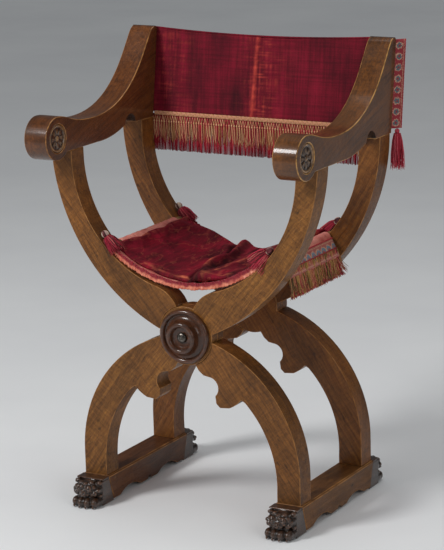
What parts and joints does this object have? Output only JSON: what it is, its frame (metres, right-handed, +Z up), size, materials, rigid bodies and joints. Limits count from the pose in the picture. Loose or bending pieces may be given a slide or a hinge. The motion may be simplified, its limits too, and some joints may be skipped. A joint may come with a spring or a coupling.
{
  "type": "folding x-frame armchair",
  "caption": "Folding armchair with crossing X frames, scrolled arms, carved paws, slung velvet seat with cushion, and fringed velvet back.",
  "frame": {"origin": "on the floor, under the middle of the whole chair's outline", "axes": "+Z up, -Y towards the front, +X towards the right side of the chair seen from its front"},
  "size_m": [0.6392, 0.4678, 0.9401],
  "materials": {
    "walnut": "waxed",
    "dark_walnut": "waxed, darker with age",
    "beech": "plain",
    "iron": "dark, forged",
    "brass": "tarnished",
    "velvet": "cotton velvet, worn",
    "satin": "silk, creased",
    "galloon": "woven with pattern",
    "fringe": "silk strands",
    "tassel": "silk strands"
  },
  "bodies": {
    "half_a": {"front_member_a": "walnut", "rear_member_a": "walnut", "arm_right": "walnut", "foot_rail_left": "walnut", "paw_front_left": "dark_walnut", "paw_rear_left": "dark_walnut", "paw_dowels_left": "beech", "leg_pegs_left": "beech", "boss_front": "dark_walnut", "boss_rear": "dark_walnut", "pivot_pin_front": "iron", "pivot_pin_rear": "iron", "seat_rail_right": "beech", "seat_galloon_right": "galloon", "seat_fringe_right": "fringe", "cushion_tassels_right": "tassel", "back_galloon_right": "galloon", "back_tassel_right": "tassel", "back_nails_right": "brass", "seat_sling": "velvet", "seat_cushion": "satin", "back_panel": "velvet", "back_fringe": "fringe"},
    "half_b": {"front_member_b": "walnut", "rear_member_b": "walnut", "arm_left": "walnut", "foot_rail_right": "walnut", "paw_front_right": "dark_walnut", "paw_rear_right": "dark_walnut", "paw_dowels_right": "beech", "leg_pegs_right": "beech", "seat_rail_left": "beech", "seat_galloon_left": "galloon", "seat_fringe_left": "fringe", "cushion_tassels_left": "tassel", "back_galloon_left": "galloon", "back_tassel_left": "tassel", "back_nails_left": "brass"}
  },
  "joints": [
    {"name": "fold", "type": "hinge", "parent": "half_a", "child": "half_b", "pos_m": [0, 0.0149, 0.377], "axis": [0, 1, 0], "range_deg": [0, 34], "deforming": ["seat_sling", "seat_cushion", "back_panel", "back_fringe"]}
  ]
}
